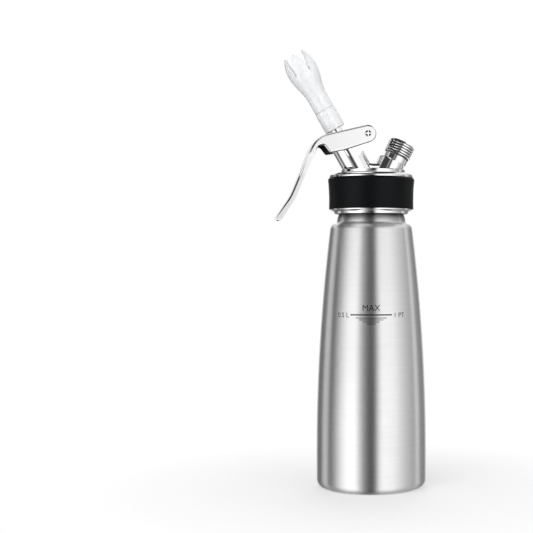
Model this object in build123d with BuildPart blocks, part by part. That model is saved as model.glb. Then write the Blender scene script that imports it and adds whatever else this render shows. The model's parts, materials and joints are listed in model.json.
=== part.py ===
from build123d import *
from math import acos, asin, cos, degrees, radians, sin, tan
import os

os.makedirs("parts", exist_ok=True)

# Whipped cream dispenser, in millimetres. The origin is the centre of the base,
# +Z is up, the lever's handle is on the -X side and the charging nipple on the +X side.

# ---- Fits and clearances -------------------------------------------------------------
running_fit = 0.05  # radial, a pin or stem that slides or turns in its bore
seat_gap = 0.05  # between flat faces of pieces that move apart
thread_gap = 0.25  # radial, between plain thread envelopes
push_gap = 0.02  # radial, pieces of one body pushed over each other

# ---- Bottle --------------------------------------------------------------------------
bottle_radius = 39.9
bottle_wall = 1.0
foot_corner = 6.0
foot_ring = 1.9  # width of the flat ring it stands on
dish_height = 3.0
dish_slope_run = 3.0
belly_start = 26.0  # height where the wall starts to draw in
belly_end = 187.2
shoulder_step = 5.0  # from the neck's bead out to the wall's upper end
shoulder_round = 4.6
bead_inset = 0.3  # the bead below the groove is this much narrower than the neck
bead_foot_round = 1.6
bead_bend = 10.2
groove_depth = 1.9  # the groove between the bead and the thread
groove_length = 2.2
groove_runout = 1.9
neck_radius = 25.4
neck_top = 215.0
neck_thread_depth = 0.7
neck_thread_start = 202.5
neck_thread_lead = 1.0
rim_round = 0.4

# ---- Head casting --------------------------------------------------------------------
gasket_thickness = 2.6
gasket_width = 5.2
skirt_bottom = 198.4
skirt_wall = 2.1
skirt_lip = 1.4  # the inner edge below the rim
skirt_lip_wall = 0.95
rim_reach = 1.85  # rim and lip stand out from the skirt under the grip band
rim_chamfer = 1.2
rim_height = 1.9
band_height = 22.9
lip_reach = 2.15
lip_height = 2.6
lip_round = 2.4
shoulder_top = 228.9
shoulder_radius = 21.2
plateau_radius = 23.4
plateau_shift = 1.4  # towards the nipple
plateau_top = 230.6
plateau_round = 0.5
ceiling_recess = 4.0
ceiling_recess_radius = 20.0

# ---- Grip band -----------------------------------------------------------------------
band_waist = 2.3  # its thickness at the waist, at the flare on top and at the foot
band_flare = 3.05
band_foot = 2.4
band_round = 1.8

# ---- Outlet stem, along its own leaning axis -----------------------------------------
# Distances along the stem are measured up from where its axis meets the plateau.
stem_foot_x = -9.6
stem_tilt = 30.0
chimney_radius = 10.1
chimney_rim = 23.4
chimney_round = 0.8
seat_face = -21.6
stem_radius = 4.5
stem_bore = 2.75
stem_neck = 3.6
stem_thread_radius = 4.35
stem_thread_length = 9.8
guide_top = 8.0
guide_bottom = -6.0
spring_well_radius = 6.75
outlet_chamber_radius = 5.6
valve_disc_radius = 7.4
valve_disc_thickness = 2.6
valve_seal_thickness = 1.6
cross_hole_radius = 1.5
cross_hole_height = -11.0
stem_ring_cord = 0.65
stem_ring_heights = (0.5, 5.2)

collar_radius = 6.4
collar_seat = 24.5
collar_edge = 27.0
collar_top = 28.65
collar_top_radius = 4.95
collar_skirt = 2.2
collar_skirt_radius = 5.0

spring_wire = 0.55
spring_turns = 5.5

# ---- Lever ---------------------------------------------------------------------------
# Its side outline is given from the pivot, (along X, up).
pivot_out = 17.2  # from the stem's axis
pivot_up = 19.4  # along the stem
lever_sheet = 1.8
lever_half_width = 12.4
handle_half_width = 6.6
paddle_half_width = 7.6
lever_nose = 6.2
top_slope = 13.4
belly_slope = 19.6
handle_depth = 4.0
handle_bend = 18.0
paddle_bend = 45.0
bend_corner = (-37.7, -2.8)
paddle_corner = (-55.2, -45.0)
handle_tip = (-66.2, -61.4)
cheek_corner = (-17.5, -12.5)
cheek_front = (-27.8, -14.3)
notch_top = (-33.6, -6.9)
cheek_front_round = 1.6
cheek_corner_round = 25.0
notch_round = 3.2
notch_lip = 4.9  # from the bend's corner down the flange's edge
notch_lip_round = 0.8
tip_round = 1.6
lever_edge_round = 1.3
outline_overhang = 1.0
handle_taper_top = -11.1
handle_taper_bottom = -30.0
handle_taper_round = 14.0
paddle_taper_top = -48.0
paddle_corner_round = 5.0
stem_slot_play = 0.35
stem_slot_travel = 3.4
stem_slot_shift = 1.3

# ---- Pivot ---------------------------------------------------------------------------
sleeve_radius = 2.5
screw_radius = 1.3
screw_head_radius = 2.35
screw_head_depth = 0.85
screw_length = 6.0
screw_head_round = 0.35
screw_cross_span = 2.7
screw_cross_width = 0.6
screw_cross_depth = 0.5
washer_thickness = 0.7
washer_radius = 4.0
ear_radius = 4.1
ear_root_out = 2.5
ear_root_up = 15.0
ear_root_radius = 6.0

# ---- Saddle between chimney and boss -------------------------------------------------
saddle_round = 8.8
saddle_height = 4.4
saddle_end = 0.6
saddle_half_width = 7.0
saddle_edge_round = 2.5

# ---- Charging nipple, along its own leaning axis -------------------------------------
# Distances along it are measured up from where its axis meets the plateau.
nipple_foot_x = 13.8
nipple_tilt = 26.0
nipple_top = 22.3
nipple_thread_radius = 10.1
nipple_thread_length = 11.2
nipple_neck_radius = 9.0
nipple_neck_length = 4.3
nipple_chamfer = 0.8
boss_radius = 10.0
boss_offset = 1.65  # towards the stem
boss_root = -3.0
boss_round = 0.6
spigot_radius = 7.0
spigot_length = 7.0
nipple_ring_cord = 0.6
nipple_ring_height = 2.8  # up from the spigot's end
mouth_radius = 4.6
mouth_depth = 10.0
mouth_chamfer = 0.5
charger_gasket_thickness = 2.0
charger_gasket_bore = 1.9
pin_point_radius = 0.25
pin_shank_radius = 1.4
pin_tip_reach = 3.2
pin_root_radius = 2.4
pin_root_length = 5.0
pin_flange_radius = 3.4
pin_flange_thickness = 1.2
pin_bore = 0.6
check_well_radius = 4.2
check_well_depth = 3.6
check_disc_radius = 3.5
check_disc_thickness = 1.2
check_stem_radius = 1.5
check_stem_length = 1.6
check_seal_thickness = 1.0
check_travel_gap = 0.1
check_wire = 0.3
check_turns = 3.5
check_spring_radius = 2.3
gas_hole_radius = 1.2

# ---- Nozzle, along the stem ----------------------------------------------------------
nozzle_lever_gap = 0.6  # along the stem, from the lever's plate to the nozzle's foot
nozzle_grip = 10.5  # from the nozzle's foot up to the stem's end
nozzle_collar_radius = 7.7
nozzle_collar_length = 15.6
collar_line_depth = 0.35  # the fine groove above the collar
collar_line_width = 0.6
nozzle_waist_radius = 7.45
nozzle_waist_end = 27.5
nozzle_bulge_radius = 11.0
nozzle_bulge_height = 44.5
nozzle_mouth_radius = 8.2
nozzle_length = 61.0
nozzle_wall = 1.4
nozzle_base_round = 0.8
nozzle_seal_thickness = 1.4
nozzle_throat = 3.0
insert_radius = 6.0
insert_recess = 0.8
petals = 6
petal_phase = -12.0
petal_gap_depth = 15.0
petal_gap_foot = 0.5
petal_gap_middle = 1.25
petal_gap_mouth = 3.3

# ---- Derived places ------------------------------------------------------------------
ceiling = neck_top + seat_gap + gasket_thickness + seat_gap
bead_radius = neck_radius - bead_inset
groove_radius = neck_radius - groove_depth
neck_thread_radius = neck_radius + neck_thread_depth
skirt_inner = neck_thread_radius + thread_gap
skirt_outer = skirt_inner + skirt_wall
rim_radius = skirt_outer + rim_reach
lip_radius = skirt_outer + lip_reach
rim_bottom = skirt_bottom + skirt_lip
band_bottom = rim_bottom + rim_height
band_top = band_bottom + band_height
boss_top = nipple_top - nipple_thread_length - nipple_neck_length
spigot_end = boss_top - spigot_length


def leaning_plane(foot_x, tilt):
    """A plane at the plateau, its normal leaning in XZ by tilt degrees, towards +X if positive."""
    lean = radians(tilt)
    return Plane(
        origin=(foot_x, 0, plateau_top),
        x_dir=(cos(lean), 0, -sin(lean)),
        z_dir=(sin(lean), 0, cos(lean)),
    )


def profile_plane(plane):
    """The upright plane through a leaning axis: local x across it, local y along it."""
    return Plane(origin=plane.origin, x_dir=plane.x_dir, z_dir=plane.z_dir.cross(plane.x_dir) * -1)


stem_plane = leaning_plane(stem_foot_x, -stem_tilt)
stem_profile = profile_plane(stem_plane)
stem_axis = Axis(stem_plane.origin, stem_plane.z_dir)
nipple_plane = leaning_plane(nipple_foot_x, nipple_tilt)
nipple_profile = profile_plane(nipple_plane)
nipple_axis = Axis(nipple_plane.origin, nipple_plane.z_dir)

pivot = stem_profile.from_local_coords(Vector(pivot_out, pivot_up, 0))
ear_root = stem_profile.from_local_coords(Vector(ear_root_out, ear_root_up, 0))
pivot_plane = Plane(origin=pivot, x_dir=(1, 0, 0), z_dir=(0, -1, 0))
lever_inner_half = lever_half_width - lever_sheet
ear_half_width = lever_inner_half - washer_thickness - 2 * seat_gap

# the lever's plate in the stem's profile plane, where its back is highest at the nozzle's outer side
top_lean = radians(top_slope)
nose_top = Vector(-sin(top_lean), cos(top_lean)) * lever_nose
plate_start = stem_profile.to_local_coords(pivot_plane.from_local_coords(nose_top))
plate_end = stem_profile.to_local_coords(pivot_plane.from_local_coords(Vector(*bend_corner)))
plate_climb = (plate_end.Y - plate_start.Y) / (plate_start.X - plate_end.X)
foot_edge = nozzle_collar_radius - nozzle_base_round
nozzle_base = plate_start.Y + (plate_start.X + foot_edge) * plate_climb + nozzle_lever_gap
stem_top = nozzle_base + nozzle_grip
thread_start = stem_top - stem_thread_length


def save(piece, name):
    """Label a finished piece and write it as the node of that name."""
    piece.part.label = name
    export_step(piece.part, f"parts/{name}.step")


def ring(plane, inner, outer, bottom, top):
    """A plain ring or washer round a plane's normal."""
    with BuildPart() as piece:
        with BuildSketch(plane.offset(bottom)):
            Circle(outer)
            Circle(inner, mode=Mode.SUBTRACT)
        extrude(amount=top - bottom)
    return piece


def turned(profile, axis, points):
    """A piece turned about an axis from a closed outline of (radius, height) points."""
    with BuildPart() as piece:
        with BuildSketch(profile):
            with BuildLine():
                Polyline(*points, close=True)
            make_face()
        revolve(axis=axis)
    return piece


def o_rings(profile, axis, radius, cord, heights):
    """Round-section rings of one size, one at each height."""
    with BuildPart() as piece:
        for height in heights:
            with BuildSketch(profile):
                with Locations((radius, height)):
                    Circle(cord)
            revolve(axis=axis)
    return piece


def coil(plane, radius, wire, bottom, top, turns):
    """A round-wire compression spring between two seats."""
    rise = top - bottom - 2 * (wire + seat_gap)
    start = plane.offset(bottom + wire + seat_gap)
    with BuildPart() as piece:
        with BuildLine() as path:
            Helix(
                pitch=rise / turns,
                height=rise,
                radius=radius,
                center=start.origin,
                direction=plane.z_dir,
            )
        with BuildSketch(Plane(origin=path.line @ 0, z_dir=path.line % 0)):
            Circle(wire)
        sweep()
    return piece


# ---- Bottle --------------------------------------------------------------------------
belly_rise = belly_end - belly_start
belly_draw = bottle_radius - bead_radius - shoulder_step
belly_bend = (belly_rise**2 + belly_draw**2) / (2 * belly_draw)
belly_turn = asin(belly_rise / belly_bend)
shoulder_turn = acos(
    (shoulder_round * cos(belly_turn) + bead_foot_round - shoulder_step) / (shoulder_round + bead_foot_round)
)
bead_turn = acos(1 - (bead_radius - groove_radius) / bead_bend)
foot_inside = bottle_radius - foot_corner - foot_ring
dish_radius = foot_inside - dish_slope_run

with BuildPart() as bottle:
    with BuildSketch(Plane.XZ):
        with BuildLine():
            Polyline(
                (0, 0),
                (0, dish_height),
                (dish_radius, dish_height),
                (foot_inside, 0),
                (bottle_radius - foot_corner, 0),
            )
            JernArc((bottle_radius - foot_corner, 0), (1, 0), foot_corner, 90)
            Line((bottle_radius, foot_corner), (bottle_radius, belly_start))
            belly = JernArc((bottle_radius, belly_start), (0, 1), belly_bend, degrees(belly_turn))
            shoulder = JernArc(
                belly @ 1, belly % 1, shoulder_round, degrees(shoulder_turn - belly_turn)
            )
            hollow = JernArc(shoulder @ 1, shoulder % 1, bead_foot_round, -degrees(shoulder_turn))
            bead = JernArc(hollow @ 1, (0, 1), bead_bend, degrees(bead_turn))
            groove_top = (bead @ 1).Y + groove_length
            Polyline(
                bead @ 1,
                (groove_radius, groove_top),
                (neck_radius, groove_top + groove_runout),
                (neck_radius, neck_top),
                (0, neck_top),
                (0, dish_height),
            )
        make_face()
    revolve(axis=Axis.Z)
    offset(amount=-bottle_wall, openings=bottle.faces().sort_by(Axis.Z)[-1])
    with BuildSketch(Plane.XZ):
        with BuildLine():
            Polyline(
                (neck_radius - bottle_wall / 2, neck_thread_start),
                (neck_radius, neck_thread_start),
                (neck_thread_radius, neck_thread_start + neck_thread_lead),
                (neck_thread_radius, neck_top),
                (neck_radius - bottle_wall / 2, neck_top),
                close=True,
            )
        make_face()
    revolve(axis=Axis.Z)
    fillet(bottle.faces().sort_by(Axis.Z)[-1].edges(), rim_round)
save(bottle, "bottle")

# ---- Head gasket ---------------------------------------------------------------------
gasket_outer = skirt_inner - thread_gap
gasket_bottom = neck_top + seat_gap
head_gasket = ring(
    Plane.XY, gasket_outer - gasket_width, gasket_outer, gasket_bottom, gasket_bottom + gasket_thickness
)
save(head_gasket, "head_gasket")

# ---- Head casting --------------------------------------------------------------------
# the saddle that joins chimney and boss
with BuildPart() as saddle:
    with BuildSketch(Plane.XZ):
        with BuildLine():
            saddle_top = plateau_top + saddle_height
            saddle_arc = JernArc((saddle_end, saddle_top), (-1, 0), saddle_round, -90)
            Polyline(
                saddle_arc @ 1,
                (stem_foot_x, plateau_top - plateau_round),
                (nipple_foot_x, plateau_top - plateau_round),
                (nipple_foot_x, saddle_top),
                (saddle_end, saddle_top),
            )
        make_face()
    extrude(amount=saddle_half_width, both=True)
    fillet(saddle.edges().filter_by(GeomType.CIRCLE), saddle_edge_round)

with BuildPart() as head:
    with BuildSketch(Plane.XZ):
        with BuildLine():
            Polyline(
                (0, ceiling + ceiling_recess),
                (ceiling_recess_radius, ceiling + ceiling_recess),
                (ceiling_recess_radius, ceiling),
                (skirt_inner, ceiling),
                (skirt_inner, skirt_bottom),
                (skirt_inner + skirt_lip_wall, skirt_bottom),
                (skirt_inner + skirt_lip_wall, rim_bottom),
                (rim_radius - rim_chamfer, rim_bottom),
                (rim_radius, rim_bottom + rim_chamfer),
                (rim_radius, band_bottom),
                (skirt_outer, band_bottom),
                (skirt_outer, band_top),
                (lip_radius, band_top),
                (lip_radius, band_top + lip_height),
                (shoulder_radius, shoulder_top),
                (0, shoulder_top),
                close=True,
            )
        profile = make_face()
        fillet(profile.vertices().group_by(Axis.X)[-1].sort_by(Axis.Y)[-1], lip_round)
    revolve(axis=Axis.Z)
    # the round plateau, set off towards the nipple
    with BuildSketch(Plane.XY.offset(band_top)):
        with Locations((plateau_shift, 0)):
            Circle(plateau_radius)
    extrude(amount=plateau_top - band_top)
    chamfer(head.faces().sort_by(Axis.Z)[-1].edges(), plateau_round)
    # the chimney, which carries on below the ceiling as the valve seat
    with BuildSketch(stem_plane.offset(seat_face)):
        Circle(chimney_radius)
    extrude(amount=chimney_rim - seat_face)
    chamfer(head.edges().filter_by(GeomType.CIRCLE).sort_by(Axis.Z)[-1], chimney_round)
    # the boss under the charging nipple
    with BuildSketch(nipple_plane.offset(boss_root)):
        with Locations((-boss_offset, 0)):
            Circle(boss_radius)
    extrude(amount=boss_top - boss_root)
    chamfer(head.edges().filter_by(GeomType.CIRCLE).sort_by(nipple_axis)[-1], boss_round)
    add(saddle.part)
    # the ear that carries the lever
    with BuildSketch(Plane.XZ):
        with Locations((pivot.X, pivot.Z)):
            Circle(ear_radius)
        with Locations((ear_root.X, ear_root.Z)):
            Circle(ear_root_radius)
        make_hull()
    extrude(amount=ear_half_width, both=True)
    with BuildSketch(pivot_plane):
        Circle(sleeve_radius + running_fit)
    extrude(amount=ear_half_width, both=True, mode=Mode.SUBTRACT)
    # the stem's bore: spring well, guide and outlet chamber
    for radius, bottom, top in (
        (spring_well_radius, guide_top, chimney_rim),
        (stem_radius + running_fit, guide_bottom, guide_top),
        (outlet_chamber_radius, seat_face, guide_bottom),
    ):
        with BuildSketch(stem_plane.offset(bottom)):
            Circle(radius)
        extrude(amount=top - bottom, mode=Mode.SUBTRACT)
    # the charging port: spigot bore, check valve well and gas hole
    for radius, bottom, top in (
        (spigot_radius + push_gap, spigot_end - seat_gap, boss_top),
        (check_well_radius, spigot_end - check_well_depth, spigot_end),
    ):
        with BuildSketch(nipple_plane.offset(bottom)):
            Circle(radius)
        extrude(amount=top - bottom, mode=Mode.SUBTRACT)
    well_floor = nipple_plane.offset(spigot_end - check_well_depth).origin
    with BuildSketch(Plane.XY.offset(ceiling)):
        with Locations((well_floor.X, 0)):
            Circle(gas_hole_radius)
    extrude(amount=well_floor.Z - ceiling + check_disc_thickness, mode=Mode.SUBTRACT)
save(head, "head")

# ---- Grip band -----------------------------------------------------------------------
band_inner = skirt_outer + push_gap
with BuildPart() as grip_band:
    with BuildSketch(Plane.XZ):
        with BuildLine():
            side = Spline(
                (skirt_outer + band_foot, band_bottom),
                (skirt_outer + band_waist, band_bottom + band_height * 0.42),
                (skirt_outer + band_flare, band_top - band_round),
                tangents=((-0.05, 1), (0.12, 1)),
            )
            corner = RadiusArc(side @ 1, (skirt_outer + band_flare - band_round, band_top), -band_round)
            Polyline(corner @ 1, (band_inner, band_top), (band_inner, band_bottom), side @ 0)
        make_face()
    revolve(axis=Axis.Z)
save(grip_band, "grip_band")

# ---- Outlet stem ---------------------------------------------------------------------
disc_top = seat_face - seat_gap - valve_seal_thickness
ring_groove = stem_ring_cord + push_gap
groove_root = stem_radius - 2 * stem_ring_cord
bore_bottom = cross_hole_height - 2 * cross_hole_radius
stem_outline = [
    (0, disc_top - valve_disc_thickness),
    (valve_disc_radius, disc_top - valve_disc_thickness),
    (valve_disc_radius, disc_top),
    (stem_neck, disc_top),
    (stem_neck, guide_bottom - 1.5),
    (stem_radius, guide_bottom - 0.5),
]
for height in stem_ring_heights:
    stem_outline += [
        (stem_radius, height - ring_groove),
        (groove_root - push_gap, height - ring_groove),
        (groove_root - push_gap, height + ring_groove),
        (stem_radius, height + ring_groove),
    ]
stem_outline += [
    (stem_radius, thread_start),
    (stem_thread_radius, thread_start),
    (stem_thread_radius, stem_top),
    (stem_bore, stem_top),
    (stem_bore, bore_bottom),
    (0, bore_bottom - stem_bore / 2),
]
hole_centre = stem_plane.offset(cross_hole_height).origin
with BuildPart() as outlet_stem:
    with BuildSketch(stem_profile):
        with BuildLine():
            Polyline(*stem_outline, close=True)
        make_face()
    revolve(axis=stem_axis)
    for across in (stem_plane.x_dir, stem_plane.y_dir):
        with BuildSketch(Plane(origin=hole_centre, z_dir=across)):
            Circle(cross_hole_radius)
        extrude(amount=stem_radius, both=True, mode=Mode.SUBTRACT)
save(outlet_stem, "outlet_stem")

seal_top = disc_top + valve_seal_thickness
valve_seal = ring(stem_plane, stem_neck + push_gap, valve_disc_radius, disc_top, seal_top)
save(valve_seal, "valve_seal")

stem_rings = o_rings(
    stem_profile, stem_axis, stem_radius - stem_ring_cord, stem_ring_cord, stem_ring_heights
)
save(stem_rings, "stem_rings")

lever_collar = turned(
    stem_profile,
    stem_axis,
    [
        (stem_radius + push_gap, collar_seat - collar_skirt),
        (collar_skirt_radius, collar_seat - collar_skirt),
        (collar_skirt_radius, collar_seat),
        (collar_radius, collar_seat),
        (collar_radius, collar_edge),
        (collar_top_radius, collar_top),
        (stem_radius + push_gap, collar_top),
    ],
)
save(lever_collar, "lever_collar")

spring_coil_radius = (collar_skirt_radius + spring_well_radius) / 2
return_spring = coil(stem_plane, spring_coil_radius, spring_wire, guide_top, collar_seat, spring_turns)
save(return_spring, "return_spring")


# ---- Lever ---------------------------------------------------------------------------
def inset(before, corner, after, distance):
    """The mitred corner of a path moved sideways, to its left, by distance."""
    first = (Vector(corner) - Vector(before)).normalized()
    second = (Vector(after) - Vector(corner)).normalized()
    normal = Vector(-first.Y - second.Y, first.X + second.X).normalized()
    half_turn = radians(first.get_angle(second)) / 2
    return Vector(corner) + normal * (distance / cos(half_turn))


belly_lean = radians(belly_slope)
nose_bottom = Vector(sin(belly_lean), -cos(belly_lean)) * lever_nose
nose_front = Vector(cos(top_lean), sin(top_lean)) * lever_nose


def handle_run(depth):
    """The handle's back, or a line depth inside it, from the nose's top to the tip."""
    after_tip = Vector(handle_tip) * 2 - Vector(paddle_corner)
    before_nose = nose_top * 2 - Vector(bend_corner)
    return [
        inset(before_nose, nose_top, bend_corner, depth),
        inset(nose_top, bend_corner, paddle_corner, depth),
        inset(bend_corner, paddle_corner, handle_tip, depth),
        inset(paddle_corner, handle_tip, after_tip, depth),
    ]


front_plane = Plane(origin=pivot, x_dir=(0, -1, 0), z_dir=(-1, 0, 0))
reach = lever_half_width - handle_tip[0]  # past the lever on every side
back = handle_run(0)
flange_edge = handle_run(handle_depth)
sheet_inside = handle_run(lever_sheet)
notch_foot = flange_edge[1] + (flange_edge[2] - flange_edge[1]).normalized() * notch_lip


def front_outline(margin):
    """The lever's outline seen from behind the handle, drawn in by a margin."""
    full = lever_half_width + outline_overhang - margin
    slim = handle_half_width - margin
    wide = paddle_half_width - margin
    foot = handle_tip[1] - handle_depth + margin
    sky = lever_nose + handle_depth
    right = [
        (full, sky),
        (full, handle_taper_top),
        (slim, handle_taper_bottom),
        (slim, paddle_taper_top),
        (wide, foot + paddle_half_width),
        (wide, foot),
    ]
    left = [(-across, up) for across, up in reversed(right)]
    with BuildSketch(front_plane) as front:
        Polygon(*right, *left, align=None)
        levels = front.vertices().group_by(Axis.Y)
        fillet(levels[3] + levels[4], handle_taper_round)
        fillet(front.vertices().group_by(Axis.Y)[0], paddle_corner_round - margin)
    return front.sketch


with BuildPart() as lever_pocket:
    with BuildSketch(pivot_plane):
        with BuildLine():
            run = FilletPolyline(
                sheet_inside[0] + (sheet_inside[0] - sheet_inside[1]).normalized() * 2 * lever_nose,
                *sheet_inside[1:],
                radius=[handle_bend - lever_sheet, paddle_bend + lever_sheet],
            )
            Polyline(run @ 1, (0, handle_tip[1] - reach), (reach, 0), run @ 0)
        make_face()
    extrude(amount=lever_inner_half, both=True)
    extrude(front_outline(lever_sheet), amount=reach, both=True, mode=Mode.INTERSECT)

with BuildPart() as lever:
    with BuildSketch(pivot_plane):
        with BuildLine():
            FilletPolyline(*back, radius=[handle_bend, paddle_bend])
            FilletPolyline(
                back[3],
                flange_edge[3],
                flange_edge[2],
                notch_foot,
                notch_top,
                cheek_front,
                cheek_corner,
                nose_bottom,
                radius=[
                    tip_round,
                    paddle_bend - handle_depth,
                    notch_lip_round,
                    notch_round,
                    cheek_front_round,
                    cheek_corner_round,
                ],
            )
            ThreePointArc(nose_bottom, nose_front, nose_top)
        make_face()
    extrude(amount=lever_half_width, both=True)
    cheeks = lever.faces().sort_by(Axis.Y)
    fillet(cheeks[0].edges() + cheeks[-1].edges(), lever_edge_round)
    extrude(front_outline(0), amount=reach, both=True, mode=Mode.INTERSECT)
    add(lever_pocket.part, mode=Mode.SUBTRACT)
    # the slot that the stem passes through
    plate_mid = stem_profile.from_local_coords(Vector(stem_slot_shift, collar_top + lever_sheet, 0))
    slot_plane = Plane(
        origin=plate_mid, x_dir=(cos(top_lean), 0, sin(top_lean)), z_dir=(-sin(top_lean), 0, cos(top_lean))
    )
    with BuildSketch(slot_plane):
        SlotCenterToCenter(stem_slot_travel, 2 * (stem_radius + stem_slot_play))
    extrude(amount=2 * lever_sheet, both=True, mode=Mode.SUBTRACT)
    # holes for the pivot screws
    for side in (-1, 1):
        with BuildSketch(Plane(origin=pivot + (0, side * lever_half_width, 0), z_dir=(0, -side, 0))):
            Circle(screw_radius + push_gap)
        extrude(amount=lever_sheet, mode=Mode.SUBTRACT)
save(lever, "lever")

# ---- Pivot ---------------------------------------------------------------------------
pivot_axis_plane = Plane(origin=pivot, x_dir=(1, 0, 0), z_dir=(0, 1, 0))
sleeve_half = lever_inner_half - seat_gap
pivot_sleeve = ring(pivot_axis_plane, screw_radius + push_gap, sleeve_radius, -sleeve_half, sleeve_half)
save(pivot_sleeve, "pivot_sleeve")

with BuildPart() as pivot_washers:
    for side in (-1, 1):
        with BuildSketch(Plane(origin=pivot + (0, side * lever_inner_half, 0), z_dir=(0, -side, 0))):
            Circle(washer_radius)
            Circle(sleeve_radius + push_gap, mode=Mode.SUBTRACT)
        extrude(amount=washer_thickness)
save(pivot_washers, "pivot_washers")

with BuildPart() as pivot_screws:
    for side in (-1, 1):
        outside = Plane(origin=pivot + (0, side * lever_half_width, 0), z_dir=(0, -side, 0))
        with BuildSketch(outside):
            Circle(screw_radius)
        extrude(amount=screw_length)
        with BuildSketch(outside):
            Circle(screw_head_radius)
        extrude(amount=-screw_head_depth)
        crown = pivot_screws.faces().sort_by(Axis.Y)[-1 if side > 0 else 0]
        fillet(crown.edges(), screw_head_round)
        with BuildSketch(outside.offset(-screw_head_depth)):
            Rectangle(screw_cross_span, screw_cross_width)
            Rectangle(screw_cross_width, screw_cross_span)
        extrude(amount=screw_cross_depth, mode=Mode.SUBTRACT)
save(pivot_screws, "pivot_screws")

# ---- Charging nipple -----------------------------------------------------------------
thread_bottom = nipple_top - nipple_thread_length
gasket_seat = nipple_top - mouth_depth
pin_seat = gasket_seat - pin_root_length
ring_height = spigot_end + nipple_ring_height
nipple_groove = spigot_radius - 2 * nipple_ring_cord
charger_nipple = turned(
    nipple_profile,
    nipple_axis,
    [
        (check_well_radius, spigot_end),
        (spigot_radius, spigot_end),
        (spigot_radius, ring_height - nipple_ring_cord - push_gap),
        (nipple_groove, ring_height - nipple_ring_cord - push_gap),
        (nipple_groove, ring_height + nipple_ring_cord + push_gap),
        (spigot_radius, ring_height + nipple_ring_cord + push_gap),
        (spigot_radius, boss_top),
        (nipple_neck_radius, boss_top),
        (nipple_neck_radius, thread_bottom),
        (nipple_thread_radius - nipple_chamfer, thread_bottom),
        (nipple_thread_radius, thread_bottom + nipple_chamfer),
        (nipple_thread_radius, nipple_top - nipple_chamfer),
        (nipple_thread_radius - nipple_chamfer, nipple_top),
        (mouth_radius + mouth_chamfer, nipple_top),
        (mouth_radius, nipple_top - mouth_chamfer),
        (mouth_radius, gasket_seat),
        (pin_root_radius + push_gap, gasket_seat),
        (pin_root_radius + push_gap, pin_seat),
        (check_well_radius, pin_seat),
    ],
)
save(charger_nipple, "charger_nipple")

nipple_ring = o_rings(
    nipple_profile, nipple_axis, spigot_radius - nipple_ring_cord, nipple_ring_cord, (ring_height,)
)
save(nipple_ring, "nipple_ring")

gasket_face = gasket_seat + charger_gasket_thickness
charger_gasket = ring(
    nipple_plane, charger_gasket_bore, mouth_radius - push_gap, gasket_seat, gasket_face
)
save(charger_gasket, "charger_gasket")

pin_point = gasket_face + pin_tip_reach
piercing_pin = turned(
    nipple_profile,
    nipple_axis,
    [
        (pin_bore, pin_seat - pin_flange_thickness),
        (pin_flange_radius, pin_seat - pin_flange_thickness),
        (pin_flange_radius, pin_seat),
        (pin_root_radius, pin_seat),
        (pin_root_radius, gasket_seat),
        (pin_shank_radius, gasket_seat),
        (pin_shank_radius, pin_point - 2 * pin_shank_radius),
        (pin_bore + pin_point_radius, pin_point),
        (pin_bore, pin_point - pin_point_radius),
    ],
)
save(piercing_pin, "piercing_pin")

check_seal_top = pin_seat - pin_flange_thickness - check_travel_gap
disc_face = check_seal_top - check_seal_thickness
seal_bore = pin_bore + pin_point_radius
check_seal = ring(nipple_plane, seal_bore, check_disc_radius, disc_face, check_seal_top)
save(check_seal, "check_seal")

disc_back = disc_face - check_disc_thickness
check_poppet = turned(
    nipple_profile,
    nipple_axis,
    [
        (0, disc_back - check_stem_length),
        (check_stem_radius, disc_back - check_stem_length),
        (check_stem_radius, disc_back),
        (check_disc_radius, disc_back),
        (check_disc_radius, disc_face),
        (0, disc_face),
    ],
)
save(check_poppet, "check_poppet")

check_spring = coil(
    nipple_plane,
    check_spring_radius,
    check_wire,
    spigot_end - check_well_depth,
    disc_back,
    check_turns,
)
save(check_spring, "check_spring")

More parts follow.
